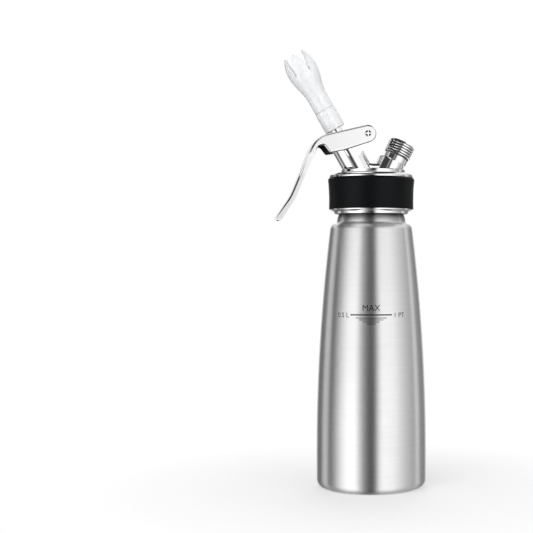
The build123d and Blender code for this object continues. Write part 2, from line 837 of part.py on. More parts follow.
# ---- Nozzle --------------------------------------------------------------------------
nozzle_tip = nozzle_base + nozzle_length
bulge = nozzle_base + nozzle_bulge_height
waist_end = nozzle_base + nozzle_waist_end
collar_end = nozzle_base + nozzle_collar_length
seal_face = stem_top + seat_gap + nozzle_seal_thickness + seat_gap
insert_top = seal_face - seat_gap
bore_start = seal_face + nozzle_wall
with BuildPart() as nozzle:
    with BuildSketch(stem_profile):
        with BuildLine():
            outside = Spline(
                (nozzle_waist_radius, waist_end),
                (nozzle_bulge_radius, bulge),
                (nozzle_mouth_radius, nozzle_tip),
                tangents=((0.1, 1), (-0.55, 1)),
            )
            inside = Spline(
                (nozzle_waist_radius - nozzle_wall, waist_end),
                (nozzle_bulge_radius - nozzle_wall, bulge),
                (nozzle_mouth_radius - nozzle_wall / 2, nozzle_tip),
                tangents=((0.1, 1), (-0.55, 1)),
            )
            Line(outside @ 1, inside @ 1)
            Polyline(
                inside @ 0,
                (nozzle_waist_radius - nozzle_wall, bore_start),
                (nozzle_throat, bore_start),
                (nozzle_throat, seal_face),
                (insert_radius, seal_face),
                (insert_radius, nozzle_base),
                (nozzle_collar_radius - nozzle_base_round, nozzle_base),
                (nozzle_collar_radius, nozzle_base + nozzle_base_round),
                (nozzle_collar_radius, collar_end),
                (nozzle_waist_radius - collar_line_depth, collar_end),
                (nozzle_waist_radius - collar_line_depth, collar_end + collar_line_width),
                (nozzle_waist_radius, collar_end + collar_line_width),
                outside @ 0,
            )
        make_face()
    revolve(axis=stem_axis)
    gap_foot = nozzle_tip - petal_gap_depth
    for turn in range(petals):
        turned_by = petal_phase + 360 * turn / petals
        across = stem_plane.x_dir.rotate(Axis((0, 0, 0), stem_plane.z_dir), turned_by)
        gap_plane = Plane(origin=stem_plane.origin, x_dir=stem_plane.z_dir, z_dir=across)
        with BuildSketch(gap_plane):
            with BuildLine():
                foot = ThreePointArc(
                    (gap_foot + petal_gap_foot, -petal_gap_foot),
                    (gap_foot, 0),
                    (gap_foot + petal_gap_foot, petal_gap_foot),
                )
                upper = Spline(
                    foot @ 1,
                    (nozzle_tip - petal_gap_depth / 2, petal_gap_middle),
                    (nozzle_tip, petal_gap_mouth),
                )
                lower = Spline(
                    foot @ 0,
                    (nozzle_tip - petal_gap_depth / 2, -petal_gap_middle),
                    (nozzle_tip, -petal_gap_mouth),
                )
                Polyline(
                    upper @ 1,
                    (nozzle_tip + nozzle_wall, petal_gap_mouth),
                    (nozzle_tip + nozzle_wall, -petal_gap_mouth),
                    lower @ 1,
                )
            make_face()
        extrude(amount=nozzle_bulge_radius * 1.2, mode=Mode.SUBTRACT)
save(nozzle, "nozzle")

nozzle_insert = ring(
    stem_plane,
    stem_thread_radius + thread_gap,
    insert_radius - push_gap,
    nozzle_base + insert_recess,
    insert_top,
)
save(nozzle_insert, "nozzle_insert")

nozzle_seal = ring(
    stem_plane,
    stem_bore,
    stem_thread_radius,
    stem_top + seat_gap,
    stem_top + seat_gap + nozzle_seal_thickness,
)
save(nozzle_seal, "nozzle_seal")
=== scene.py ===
import json
import math

import bmesh
import bpy
from mathutils import Matrix, Vector
from mathutils.bvhtree import BVHTree


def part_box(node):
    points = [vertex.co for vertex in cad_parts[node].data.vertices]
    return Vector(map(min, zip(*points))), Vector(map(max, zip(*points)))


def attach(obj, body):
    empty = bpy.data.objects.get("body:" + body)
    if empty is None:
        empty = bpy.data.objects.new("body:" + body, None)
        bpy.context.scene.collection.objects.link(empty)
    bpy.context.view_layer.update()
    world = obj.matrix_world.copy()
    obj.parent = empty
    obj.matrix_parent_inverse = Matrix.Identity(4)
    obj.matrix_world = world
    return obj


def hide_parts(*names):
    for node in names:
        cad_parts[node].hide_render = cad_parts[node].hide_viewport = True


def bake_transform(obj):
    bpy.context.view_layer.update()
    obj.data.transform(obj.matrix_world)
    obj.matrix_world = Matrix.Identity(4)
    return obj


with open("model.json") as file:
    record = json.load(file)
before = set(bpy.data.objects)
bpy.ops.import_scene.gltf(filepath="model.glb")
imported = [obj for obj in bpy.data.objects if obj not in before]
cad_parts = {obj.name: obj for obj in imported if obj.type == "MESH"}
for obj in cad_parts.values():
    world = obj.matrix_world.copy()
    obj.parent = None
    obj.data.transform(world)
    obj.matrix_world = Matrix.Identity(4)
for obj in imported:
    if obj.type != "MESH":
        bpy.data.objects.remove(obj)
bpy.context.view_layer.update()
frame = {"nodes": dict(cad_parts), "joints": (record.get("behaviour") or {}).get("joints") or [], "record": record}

# A half litre cream dispenser dressed for the photograph. Lengths are in metres.
record = frame["record"]
nodes = frame["nodes"]
joints = {joint["name"]: joint for joint in frame["joints"]}
mounts = {mount["name"]: mount for mount in record["mounts"]}

# ---- Driving values ------------------------------------------------------------------
UP = Vector((0, 0, 1))

# The photograph's camera: level, a little to the left of the bottle's front.
IMAGE = 533.0
CAMERA_AZIMUTH = math.radians(-10)
CAMERA_DISTANCE = 0.884
CAMERA_HEIGHT = 0.167
FOCAL_PIXELS = 1211.0
AXIS_PIXEL = 371.2
HORIZON_PIXEL = 257.0
SENSOR_MM = 36.0

# Edges sharper than this, in degrees, stay sharp in the shading.
SMOOTH_ANGLE = 32.0
RIDGE_SMOOTH_ANGLE = 60.0

# The charging nipple, as distances along its axis from the middle of its thread.
NIPPLE_TOP = 0.0056
NIPPLE_THREAD_BOTTOM = -0.0056
NIPPLE_BOSS_TOP = -0.0099
NIPPLE_SPIGOT_END = -0.0169
NIPPLE_GASKET_SEAT = -0.0044
NIPPLE_PIN_SEAT = -0.0094
NIPPLE_RING_GROOVE = -0.0141
NIPPLE_GROOVE_HALF = 0.00062
NIPPLE_NECK_RADIUS = 0.0090
NIPPLE_SPIGOT_RADIUS = 0.0070
NIPPLE_GROOVE_RADIUS = 0.0058
NIPPLE_WELL_RADIUS = 0.0042
NIPPLE_PIN_HOLE = 0.00242
NIPPLE_MOUTH_RADIUS = 0.0046
NIPPLE_MOUTH_CHAMFER = 0.0005
NIPPLE_CHAMFER = 0.0008
NIPPLE_PITCH = 0.00187
NIPPLE_THREAD_DEPTH = 0.0009
NIPPLE_FOOT_SHARE = 0.38
NIPPLE_CREST_SHARE = 0.15
NIPPLE_SIDES = 128
NIPPLE_RIDGE_SINK = 0.00002  # how far its ridge's foot lies in the root

# Threads shown as raised ridges on the plain cylinders of the solids.
RIDGE_STEPS = 96  # sections in one turn
RIDGE_LEAST = 0.00001  # added to a ridge's height, so that it doesn't vanish where it runs out
NECK_PITCH = 0.003
NECK_RIDGE_BOTTOM = 0.2038
NECK_RIDGE_TOP = 0.2137
NECK_RIDGE_ROOT = 0.0260
NECK_RIDGE_CREST = 0.02628
STEM_PITCH = 0.0015
STEM_RIDGE_BOTTOM = -0.0153  # from the nozzle joint's place, along the stem
STEM_RIDGE_TOP = -0.0064
STEM_RIDGE_ROOT = 0.00430
STEM_RIDGE_CREST = 0.00452

# Nearly all of a noise texture's values lie between these.
NOISE_RUN = (0.3, 0.7)

# The neck under the head's skirt is painted darker, a painted shade where the skirt overhangs
# it: the heights over which that begins and ends.
NECK_SHADE_BELOW = (0.1915, 0.1962)
NECK_SHADE_ABOVE = (0.2010, 0.2036)
NECK_SHADE_COLOUR = (0.29, 0.285, 0.28)

# The half litre fill mark: drop from the long line, half width and thickness of each line.
MARK_HEIGHT = 0.1264
MARK_LINES = (
    (0.0000, 0.0150, 0.00088),
    (-0.0022, 0.0111, 0.00045),
    (-0.0035, 0.0087, 0.00045),
    (-0.0049, 0.0060, 0.00045),
    (-0.0063, 0.0032, 0.00045),
)
# Its word and figures: text, distance across, height from the long line, letter size.
MARK_WORDS = (
    ("fill_word_max", "MAX", 0.0, 0.0029, 0.0060),
    ("fill_word_litre", "0.5 L", -0.0208, -0.0018, 0.0047),
    ("fill_word_pint", "1 PT", 0.0208, -0.0018, 0.0047),
)
MARK_PROUD = 0.00003
MARK_STEPS = 24

# The fine shadow line in the groove above the nozzle's collar, from the nozzle joint's place.
COLLAR_LINE_HEIGHT = -0.0004
COLLAR_LINE_WIDTH = 0.0005
COLLAR_LINE_INNER = 0.0069
COLLAR_LINE_OUTER = 0.0072
COLLAR_LINE_SIDES = 96

# The lever's handle is rounded along its outside edges between these heights, and the round
# grows from next to nothing to its full size over the run-out at both ends.
HANDLE_BOTTOM = 0.1945
HANDLE_TOP = 0.2395
HANDLE_RUN_OUT = 0.0080
HANDLE_ROUND = 0.0013
HANDLE_LEAST_SHARE = 0.03
HANDLE_EDGE_ANGLE = math.radians(50)
# Corners of the lever's mesh this close are one, and faces this nearly level are joined.
WELD_DISTANCE = 0.000005
LEVEL_ANGLE = math.radians(1.0)
# Above this height the inside of the bent sheet is darkened with painted shade.
LEVER_INSIDE_BOTTOM = 0.238

# Near-black pieces that paint the shade of the recesses between the arms of the pivot screws' crosses.
RECESS_INNER = 0.0008
RECESS_OUTER = 0.0021
RECESS_ARM = 0.0004
RECESS_PROUD = 0.00004
RECESS_STEPS = 10

# The floor: half its side, the share of plain white that the camera sees in it near the object,
# and the distances over which that share grows until only white is left.
FLOOR_HALF = 6.0
FLOOR_GLOW = 0.45
FLOOR_NEAR = 0.04
FLOOR_FAR = 0.20

# The soft boxes: name, azimuth and elevation in degrees, distance, size and watts.
SOFT_BOXES = (
    ("key_light", -35, 35, 1.6, 1.0, 11.0),
    ("fill_light", 30, 20, 1.8, 1.2, 6.0),
    ("back_light", 165, 35, 1.6, 1.0, 7.0),
)
SOFT_BOXES_AIM = Vector((0, 0, 0.16))

# Brightness of the studio round the object, by azimuth from the camera in degrees, positive to
# the right: a dark gap at the camera, soft boxes at both sides, flags, and the white backdrop.
STUDIO = (
    (-180, 1.00),
    (-162, 0.85),
    (-152, 0.15),
    (-128, 0.15),
    (-121, 0.60),
    (-107, 0.65),
    (-101, 0.15),
    (-92, 0.22),
    (-80, 0.66),
    (-68, 1.20),
    (-55, 1.60),
    (-35, 1.66),
    (-26, 0.96),
    (-16, 0.36),
    (-7, 0.12),
    (3, 0.03),
    (8, 0.16),
    (12, 0.58),
    (17, 1.14),
    (24, 1.48),
    (50, 1.26),
    (66, 0.86),
    (80, 0.60),
    (95, 0.42),
    (104, 0.28),
    (109, 0.75),
    (118, 0.70),
    (124, 0.30),
    (150, 0.20),
    (162, 0.85),
    (180, 1.00),
)

# By the sine of the elevation: how much of those boxes shows, and what shows above and below
# them. The upper part leans, so its white ends lower on the camera's side and on the left.
BOX_SHARE = ((-0.90, 0.0), (-0.74, 1.0), (0.26, 1.0), (0.34, 0.0))
ABOVE_BELOW = (
    (-1.0, 0.20),
    (-0.85, 0.06),
    (0.00, 0.60),
    (0.30, 1.00),
    (0.50, 1.00),
    (0.58, 0.05),
    (0.98, 0.05),
    (1.02, 1.30),
)
LEAN_FORWARD = 0.20
LEAN_LEFT = 0.30
LEAN_REACH = 1.1  # the leaning height runs from minus to plus this


# ---- Helpers -------------------------------------------------------------------------
def direction_at(azimuth, elevation=0.0):
    """The unit vector towards a viewer at that azimuth and elevation; azimuth 0 looks along +Y."""
    flat = math.cos(elevation)
    return Vector((math.sin(azimuth) * flat, -math.cos(azimuth) * flat, math.sin(elevation)))


def axis_frame(place, axis):
    """A matrix whose +Z is the given axis and whose origin is the given place."""
    turn = Vector(axis).normalized().to_track_quat("Z", "Y").to_matrix().to_4x4()
    return Matrix.Translation(Vector(place)) @ turn


def link_object(name, data):
    """A new object of the scene, for a mesh, a text, a lamp or the camera."""
    made = bpy.data.objects.new(name, data)
    bpy.context.scene.collection.objects.link(made)
    return made


def finished_mesh(rough, name):
    """The mesh of a text, or of an object with its modifiers applied. The object itself goes."""
    bpy.context.view_layer.update()
    evaluated = rough.evaluated_get(bpy.context.evaluated_depsgraph_get())
    mesh = bpy.data.meshes.new_from_object(evaluated)
    bpy.data.objects.remove(rough)
    mesh.name = name
    return mesh


def shade(mesh, smooth_angle=SMOOTH_ANGLE):
    """Shade a mesh smooth except along edges sharper than the angle."""
    mesh.shade_smooth()
    mesh.set_sharp_from_angle(angle=math.radians(smooth_angle))


def mesh_object(name, points, faces, smooth_angle=SMOOTH_ANGLE):
    """A new mesh piece with its faces turned outwards."""
    mesh = bpy.data.meshes.new(name)
    mesh.from_pydata([tuple(point) for point in points], [], faces)
    edit = bmesh.new()
    edit.from_mesh(mesh)
    bmesh.ops.recalc_face_normals(edit, faces=edit.faces)
    edit.to_mesh(mesh)
    edit.free()
    shade(mesh, smooth_angle)
    return link_object(name, mesh)


def turned(radius, angle, height):
    """The point at that radius and angle round the upright axis, at that height."""
    return Vector((radius * math.cos(angle), radius * math.sin(angle), height))


def lathe(name, outline, sides, place):
    """A closed turned piece from a closed run of (radius, height), carried to its place."""
    points, faces = [], []
    for radius, height in outline:
        for step in range(sides):
            points.append(place @ turned(radius, 2 * math.pi * step / sides, height))
    for ring in range(len(outline)):
        here = ring * sides
        following = (ring + 1) % len(outline) * sides
        for step in range(sides):
            beside = (step + 1) % sides
            faces.append((here + step, here + beside, following + beside, following + step))
    return mesh_object(name, points, faces)


def bars(name, runs, smooth_angle=SMOOTH_ANGLE):
    """A piece of closed bars. Each run is one bar's sections, and a section its four corners."""
    points, faces = [], []
    for sections in runs:
        start = len(points)
        for section in sections:
            points.extend(section)
        last = len(points) - 4
        for first in range(start, last, 4):
            for corner in range(4):
                beside = (corner + 1) % 4
                quad = (first + corner, first + beside, first + 4 + beside, first + 4 + corner)
                faces.append(quad)
        faces.append((start, start + 1, start + 2, start + 3))
        faces.append((last + 3, last + 2, last + 1, last))
    return mesh_object(name, points, faces, smooth_angle)


def thread_ridge(name, place, pitch, root, crest, bottom, top, foot_share=0.34, crest_share=0.08):
    """A helical ridge whose ends run out into the cylinder that it stands on. The shares are half
    its width at the foot and at the crest, as parts of the pitch."""
    steps = int((top - bottom) / pitch * RIDGE_STEPS)
    quarter_turn = RIDGE_STEPS / 4
    sections = []
    for step in range(steps + 1):
        angle = 2 * math.pi * step / RIDGE_STEPS
        middle = bottom + pitch * step / RIDGE_STEPS
        run_out = min(1.0, step / quarter_turn, (steps - step) / quarter_turn)
        outer = root + RIDGE_LEAST + (crest - root) * run_out
        corners = (
            (root, middle - foot_share * pitch),
            (outer, middle - crest_share * pitch),
            (outer, middle + crest_share * pitch),
            (root, middle + foot_share * pitch),
        )
        sections.append([place @ turned(radius, angle, height) for radius, height in corners])
    return bars(name, [sections], RIDGE_SMOOTH_ANGLE)


# ---- Materials -----------------------------------------------------------------------
class Nodes:
    """Short ways to add and link the shader nodes of a material or the world."""

    def __init__(self, tree):
        self.tree = tree

    def add(self, kind, **values):
        node = self.tree.nodes.new(kind)
        for key, value in values.items():
            setattr(node, key, value)
        return node

    def link(self, source, target):
        self.tree.links.new(source, target)

    def maths(self, operation, first, second):
        """The sum, product or the like of an output and another output or a plain number."""
        node = self.add("ShaderNodeMath", operation=operation)
        self.link(first, node.inputs[0])
        if isinstance(second, float):
            node.inputs[1].default_value = second
        else:
            self.link(second, node.inputs[1])
        return node.outputs[0]

    def remap(self, value, low, high, new_low=0.0, new_high=1.0):
        node = self.add("ShaderNodeMapRange")
        keys = ("From Min", "From Max", "To Min", "To Max")
        for key, number in zip(keys, (low, high, new_low, new_high)):
            node.inputs[key].default_value = number
        self.link(value, node.inputs["Value"])
        return node.outputs["Result"]

    def mix(self, factor, first, second):
        """A blend of two colours, each an output or plain red, green and blue."""
        node = self.add("ShaderNodeMix", data_type="RGBA")
        self.link(factor, node.inputs["Factor"])
        for key, colour in (("A", first), ("B", second)):
            if isinstance(colour, tuple):
                node.inputs[key].default_value = (*colour, 1)
            else:
                self.link(colour, node.inputs[key])
        return node.outputs["Result"]


class Material(Nodes):
    """A new material and its shader."""

    def __init__(self, name):
        self.material = bpy.data.materials.new(name)
        self.material.use_nodes = True
        super().__init__(self.material.node_tree)
        self.shader = self.tree.nodes["Principled BSDF"]

    def set(self, **sockets):
        for key, value in sockets.items():
            self.shader.inputs[key.replace("_", " ")].default_value = value

    def place(self):
        return self.add("ShaderNodeTexCoord").outputs["Object"]

    def height(self):
        """The height of the shaded point above the floor."""
        split = self.add("ShaderNodeSeparateXYZ")
        self.link(self.place(), split.inputs["Vector"])
        return split.outputs["Z"]

    def noise(self, vector, scale, detail, roughness):
        node = self.add("ShaderNodeTexNoise")
        node.inputs["Scale"].default_value = scale
        node.inputs["Detail"].default_value = detail
        node.inputs["Roughness"].default_value = roughness
        self.link(vector, node.inputs["Vector"])
        return node.outputs["Fac"]

    def spread(self, noise, low, high):
        """A noise's usual run turned into the run from low to high."""
        return self.remap(noise, *NOISE_RUN, low, high)

    def surface(self, colour, roughness):
        self.link(colour, self.shader.inputs["Base Color"])
        self.link(roughness, self.shader.inputs["Roughness"])

    def bump(self, height, strength, distance):
        node = self.add("ShaderNodeBump")
        node.inputs["Strength"].default_value = strength
        node.inputs["Distance"].default_value = distance
        self.link(height, node.inputs["Height"])
        self.link(node.outputs["Normal"], self.shader.inputs["Normal"])

    def around_z(self, turns, rise):
        """Coordinates that run slowly round the upright axis and quickly up it, for brushing."""
        split = self.add("ShaderNodeSeparateXYZ")
        self.link(self.place(), split.inputs["Vector"])
        angle = self.maths("ARCTAN2", split.outputs["Y"], split.outputs["X"])
        joined = self.add("ShaderNodeCombineXYZ")
        self.link(self.maths("MULTIPLY", angle, turns), joined.inputs["X"])
        self.link(self.maths("MULTIPLY", split.outputs["Z"], rise), joined.inputs["Y"])
        return joined.outputs["Vector"]


def finish(name, dark, light, roughness, noise, bump=None, fine=None, **sockets):
    """A material whose colour and roughness follow one noise, and its bump that noise or a finer
    one. A noise is its scale, detail and roughness, and bump is its strength and distance."""
    made = Material(name)
    made.set(**sockets)
    cloud = made.noise(made.place(), *noise)
    made.surface(made.mix(cloud, dark, light), made.spread(cloud, *roughness))
    if bump:
        made.bump(made.noise(made.place(), *fine) if fine else cloud, *bump)
    return made.material


def polished_steel(name, shade, roughness):
    """Bright cast, bent or turned steel, polished, with faint handling marks."""
    return finish(
        name,
        dark=(shade, shade, shade + 0.005),
        light=(shade + 0.05, shade + 0.05, shade + 0.055),
        roughness=roughness,
        noise=(130.0, 5.0, 0.6),
        bump=(0.05, 0.00004),
        fine=(1400.0, 2.0, 0.5),
        Metallic=1.0,
    )


def brushed_steel():
    """Stainless steel with fine brushing round the bottle, which spreads its gloss up and down,
    and with painted shade on the neck under the head's skirt.
    """
    made = Material("brushed_steel")
    made.set(Metallic=1.0, Anisotropic=0.97, Anisotropic_Rotation=0.25)
    around = made.add("ShaderNodeTangent", direction_type="RADIAL", axis="Z")
    made.link(around.outputs["Tangent"], made.shader.inputs["Tangent"])
    fine = made.noise(made.around_z(2.2, 5200.0), 1.0, 3.0, 0.6)
    broad = made.noise(made.around_z(0.9, 520.0), 1.0, 2.0, 0.5)
    cloud = made.noise(made.place(), 22.0, 3.0, 0.5)
    colour = made.mix(made.spread(broad, 0.0, 1.0), (0.86, 0.86, 0.865), (0.89, 0.89, 0.895))
    height = made.height()
    # Painted shade: the neck under the head's skirt is darkened between these heights.
    below = made.remap(height, *NECK_SHADE_BELOW)
    above = made.remap(height, *NECK_SHADE_ABOVE, 1.0, 0.0)
    neck = made.maths("MULTIPLY", below, above)
    rough = made.maths("ADD", made.spread(fine, 0.31, 0.39), made.spread(cloud, -0.015, 0.015))
    made.surface(made.mix(neck, colour, NECK_SHADE_COLOUR), rough)
    made.bump(fine, 0.06, 0.00003)
    return made.material


# The finishes that the record's slots name.
materials = {
    "brushed_steel": brushed_steel(),
    "polished_steel": polished_steel("polished_steel", 0.88, (0.05, 0.11)),
    # drawn or turned steel of springs, pins and sleeves
    "spring_steel": finish(
        "spring_steel",
        dark=(0.62, 0.62, 0.63),
        light=(0.72, 0.72, 0.73),
        roughness=(0.16, 0.28),
        noise=(900.0, 3.0, 0.5),
        bump=(0.08, 0.00005),
        Metallic=1.0,
    ),
    # satin black, with a fine moulded texture
    "black_silicone": finish(
        "black_silicone",
        dark=(0.0014, 0.0018, 0.0023),
        light=(0.0030, 0.0036, 0.0044),
        roughness=(0.36, 0.46),
        noise=(60.0, 4.0, 0.6),
        bump=(0.25, 0.00008),
        fine=(2600.0, 3.0, 0.6),
        Specular_IOR_Level=0.12,
    ),
    "seal_rubber": finish(
        "seal_rubber",
        dark=(0.030, 0.030, 0.032),
        light=(0.060, 0.060, 0.064),
        roughness=(0.5, 0.7),
        noise=(1800.0, 3.0, 0.5),
        bump=(0.2, 0.00006),
    ),
    # translucent moulded plastic
    "white_plastic": finish(
        "white_plastic",
        dark=(0.81, 0.82, 0.84),
        light=(0.85, 0.86, 0.875),
        roughness=(0.20, 0.30),
        noise=(90.0, 4.0, 0.5),
        bump=(0.06, 0.00006),
        fine=(1600.0, 2.0, 0.5),
        IOR=1.46,
        Subsurface_Weight=0.2,
        Subsurface_Scale=0.002,
        Subsurface_Radius=(1, 1, 1),
        Coat_Weight=0.6,
        Coat_Roughness=0.12,
    ),
    "white_nylon": finish(
        "white_nylon",
        dark=(0.78, 0.78, 0.76),
        light=(0.86, 0.86, 0.84),
        roughness=(0.35, 0.5),
        noise=(1200.0, 3.0, 0.5),
        bump=(0.1, 0.00005),
    ),
}

turned_steel = polished_steel("turned_steel", 0.90, (0.09, 0.15))
bent_steel = polished_steel("bent_steel", 0.71, (0.05, 0.11))
# Painted shade on the floor of the turned thread's groove, which is drawn dull and dark.
painted_groove_shade = finish(
    "painted_groove_shade",
    dark=(0.10, 0.10, 0.105),
    light=(0.16, 0.16, 0.165),
    roughness=(0.28, 0.40),
    noise=(1100.0, 3.0, 0.5),
    bump=(0.08, 0.00005),
    Metallic=1.0,
)
# Painted shade on the dark inside of the bent sheet.
lever_inside_shade = finish(
    "lever_inside_shade",
    dark=(0.045, 0.045, 0.048),
    light=(0.075, 0.075, 0.08),
    roughness=(0.30, 0.42),
    noise=(1100.0, 3.0, 0.5),
    bump=(0.08, 0.00005),
    Metallic=1.0,
)
# The nozzle's plastic where a groove keeps the light out of it.
shadow_plastic = finish(
    "shadow_plastic",
    dark=(0.58, 0.59, 0.61),
    light=(0.66, 0.67, 0.69),
    roughness=(0.4, 0.6),
    noise=(900.0, 3.0, 0.5),
    IOR=1.46,
)
# The nearly black ink of the fill mark's print, and the painted shade of the screws' recesses.
ink_and_recess_shade = finish(
    "ink_and_recess_shade",
    dark=(0.004, 0.004, 0.005),
    light=(0.014, 0.014, 0.016),
    roughness=(0.4, 0.6),
    noise=(3000.0, 3.0, 0.6),
    Specular_IOR_Level=0.1,
)


def dress(piece, slot_name, *own):
    """Give a new piece its own materials, or else the material of the record's slot that is named."""
    piece.data.materials.clear()
    for material in own or (materials[slot_name],):
        piece.data.materials.append(material)


for subpart in record["subparts"]:
    node = nodes[subpart["node"]]
    node.data.materials.clear()
    node.data.materials.append(materials[subpart["material_slot"]])

# ---- Charging nipple with its thread -------------------------------------------------
thread_mount = mounts["charger_thread"]
nipple_place = axis_frame(thread_mount["pos_m"], thread_mount["axis"])
nipple_crest = thread_mount["dims"]["r_mm"] / 1000
nipple_root = nipple_crest - NIPPLE_THREAD_DEPTH
groove_bottom = NIPPLE_RING_GROOVE - NIPPLE_GROOVE_HALF
groove_top = NIPPLE_RING_GROOVE + NIPPLE_GROOVE_HALF
nipple = lathe(
    "threaded_nipple",
    [
        (NIPPLE_WELL_RADIUS, NIPPLE_SPIGOT_END),
        (NIPPLE_SPIGOT_RADIUS, NIPPLE_SPIGOT_END),
        (NIPPLE_SPIGOT_RADIUS, groove_bottom),
        (NIPPLE_GROOVE_RADIUS, groove_bottom),
        (NIPPLE_GROOVE_RADIUS, groove_top),
        (NIPPLE_SPIGOT_RADIUS, groove_top),
        (NIPPLE_SPIGOT_RADIUS, NIPPLE_BOSS_TOP),
        (NIPPLE_NECK_RADIUS, NIPPLE_BOSS_TOP),
        (NIPPLE_NECK_RADIUS, NIPPLE_THREAD_BOTTOM),
        (nipple_root, NIPPLE_THREAD_BOTTOM),
        (nipple_root, NIPPLE_TOP - NIPPLE_CHAMFER),
        (nipple_root - NIPPLE_CHAMFER, NIPPLE_TOP),
        (NIPPLE_MOUTH_RADIUS + NIPPLE_MOUTH_CHAMFER, NIPPLE_TOP),
        (NIPPLE_MOUTH_RADIUS, NIPPLE_TOP - NIPPLE_MOUTH_CHAMFER),
        (NIPPLE_MOUTH_RADIUS, NIPPLE_GASKET_SEAT),
        (NIPPLE_PIN_HOLE, NIPPLE_GASKET_SEAT),
        (NIPPLE_PIN_HOLE, NIPPLE_PIN_SEAT),
        (NIPPLE_WELL_RADIUS, NIPPLE_PIN_SEAT),
    ],
    NIPPLE_SIDES,
    nipple_place,
)
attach(nipple, "head")
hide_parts("charger_nipple")
dress(nipple, "polished_steel", turned_steel, painted_groove_shade)
nipple_axis = nipple_place.to_3x3() @ UP
# The floor of the thread's groove takes the second material, its painted shade.
for face in nipple.data.polygons:
    spot = face.center - nipple_place.translation
    along = spot.dot(nipple_axis)
    from_axis = (spot - nipple_axis * along).length
    in_thread = NIPPLE_THREAD_BOTTOM < along < NIPPLE_TOP - NIPPLE_CHAMFER
    outer_wall = abs(face.normal.dot(nipple_axis)) < 0.1 and from_axis > NIPPLE_NECK_RADIUS
    if in_thread and outer_wall:
        face.material_index = 1

nipple_ridge = thread_ridge(
    "nipple_thread",
    nipple_place,
    NIPPLE_PITCH,
    nipple_root - NIPPLE_RIDGE_SINK,
    nipple_crest - RIDGE_LEAST,
    NIPPLE_THREAD_BOTTOM + NIPPLE_FOOT_SHARE * NIPPLE_PITCH,
    NIPPLE_TOP - NIPPLE_FOOT_SHARE * NIPPLE_PITCH,
    NIPPLE_FOOT_SHARE,
    NIPPLE_CREST_SHARE,
)
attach(nipple_ridge, "head")
dress(nipple_ridge, "polished_steel", turned_steel)

# ---- Ridges of the neck's and the stem's threads -------------------------------------
neck_ridge = thread_ridge(
    "neck_thread",
    Matrix.Identity(4),
    NECK_PITCH,
    NECK_RIDGE_ROOT,
    NECK_RIDGE_CREST,
    NECK_RIDGE_BOTTOM,
    NECK_RIDGE_TOP,
)
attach(neck_ridge, "bottle")
dress(neck_ridge, "brushed_steel")

nozzle_joint = joints["nozzle_turn"]
nozzle_place = axis_frame(nozzle_joint["pos_m"], nozzle_joint["axis"])
stem_ridge = thread_ridge(
    "stem_thread",
    nozzle_place,
    STEM_PITCH,
    STEM_RIDGE_ROOT,
    STEM_RIDGE_CREST,
    STEM_RIDGE_BOTTOM,
    STEM_RIDGE_TOP,
)
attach(stem_ridge, "stem")
dress(stem_ridge, "polished_steel")


# ---- Lever with rounded handle edges -------------------------------------------------
def is_handle_edge(edge):
    """Whether this is an outside edge between the handle's back and one of its sides."""
    heights = [vertex.co.z for vertex in edge.verts]
    if min(heights) < HANDLE_BOTTOM or max(heights) > HANDLE_TOP or not edge.is_convex:
        return False
    if edge.calc_face_angle(0) < HANDLE_EDGE_ANGLE:
        return False
    normals = [face.normal for face in edge.link_faces]
    outward = any(normal.x < -0.5 and abs(normal.y) < 0.2 for normal in normals)
    sideways = any(abs(normal.y) > 0.8 for normal in normals)
    return outward and sideways


def rounded_lever():
    """The lever's sheet with the outside edges of its narrow handle rounded over."""
    mesh = nodes["lever"].data.copy()
    edit = bmesh.new()
    edit.from_mesh(mesh)
    bmesh.ops.remove_doubles(edit, verts=edit.verts, dist=WELD_DISTANCE)
    bmesh.ops.dissolve_limit(
        edit, angle_limit=LEVEL_ANGLE, verts=edit.verts, edges=edit.edges, delimit={"NORMAL"}
    )
    chosen = [edge for edge in edit.edges if is_handle_edge(edge)]
    corners = [vertex.co.copy() for edge in chosen for vertex in edge.verts]
    bottom = min(corner.z for corner in corners)
    top = max(corner.z for corner in corners)
    rounding = bmesh.ops.bevel(
        edit,
        geom=chosen,
        offset=HANDLE_ROUND,
        offset_type="OFFSET",
        segments=7,
        profile=0.5,
        affect="EDGES",
        clamp_overlap=False,
    )
    for vertex in rounding["verts"]:
        corner = min(corners, key=lambda spot: (spot - vertex.co).length)
        share = min(corner.z - bottom, top - corner.z) / HANDLE_RUN_OUT
        vertex.co = corner.lerp(vertex.co, max(HANDLE_LEAST_SHARE, min(1.0, share)))
    edit.to_mesh(mesh)
    edit.free()
    shade(mesh)
    rough = link_object("rounded_lever_rough", mesh)
    weighted = rough.modifiers.new("flat_faces", "WEIGHTED_NORMAL")
    weighted.keep_sharp = True
    weighted.weight = 100
    return link_object("rounded_lever", finished_mesh(rough, "rounded_lever"))


lever = rounded_lever()
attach(lever, "lever")
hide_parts("lever")
dress(lever, "polished_steel", bent_steel, lever_inside_shade)
# The sheet's inside takes the second material, its painted shade: the facing sides of its cheeks and its
# underside.
for face in lever.data.polygons:
    sideways = abs(face.normal.y) > 0.5
    between_cheeks = sideways and face.normal.y * face.center.y < 0
    under_plate = face.normal.z < -0.25 and not sideways
    if face.center.z > LEVER_INSIDE_BOTTOM and (between_cheeks or under_plate):
        face.material_index = 1


# ---- Spring copies -------------------------------------------------------------------
def shortening_spring(node_name):
    """A still copy of a spring that stands along a valve's slide, its far end seated in the head,
    put in place of the part."""
    piece = link_object(node_name + "_coil", nodes[node_name].data.copy())
    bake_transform(piece)
    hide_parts(node_name)
    dress(piece, "spring_steel")


shortening_spring("return_spring")
shortening_spring("check_spring")
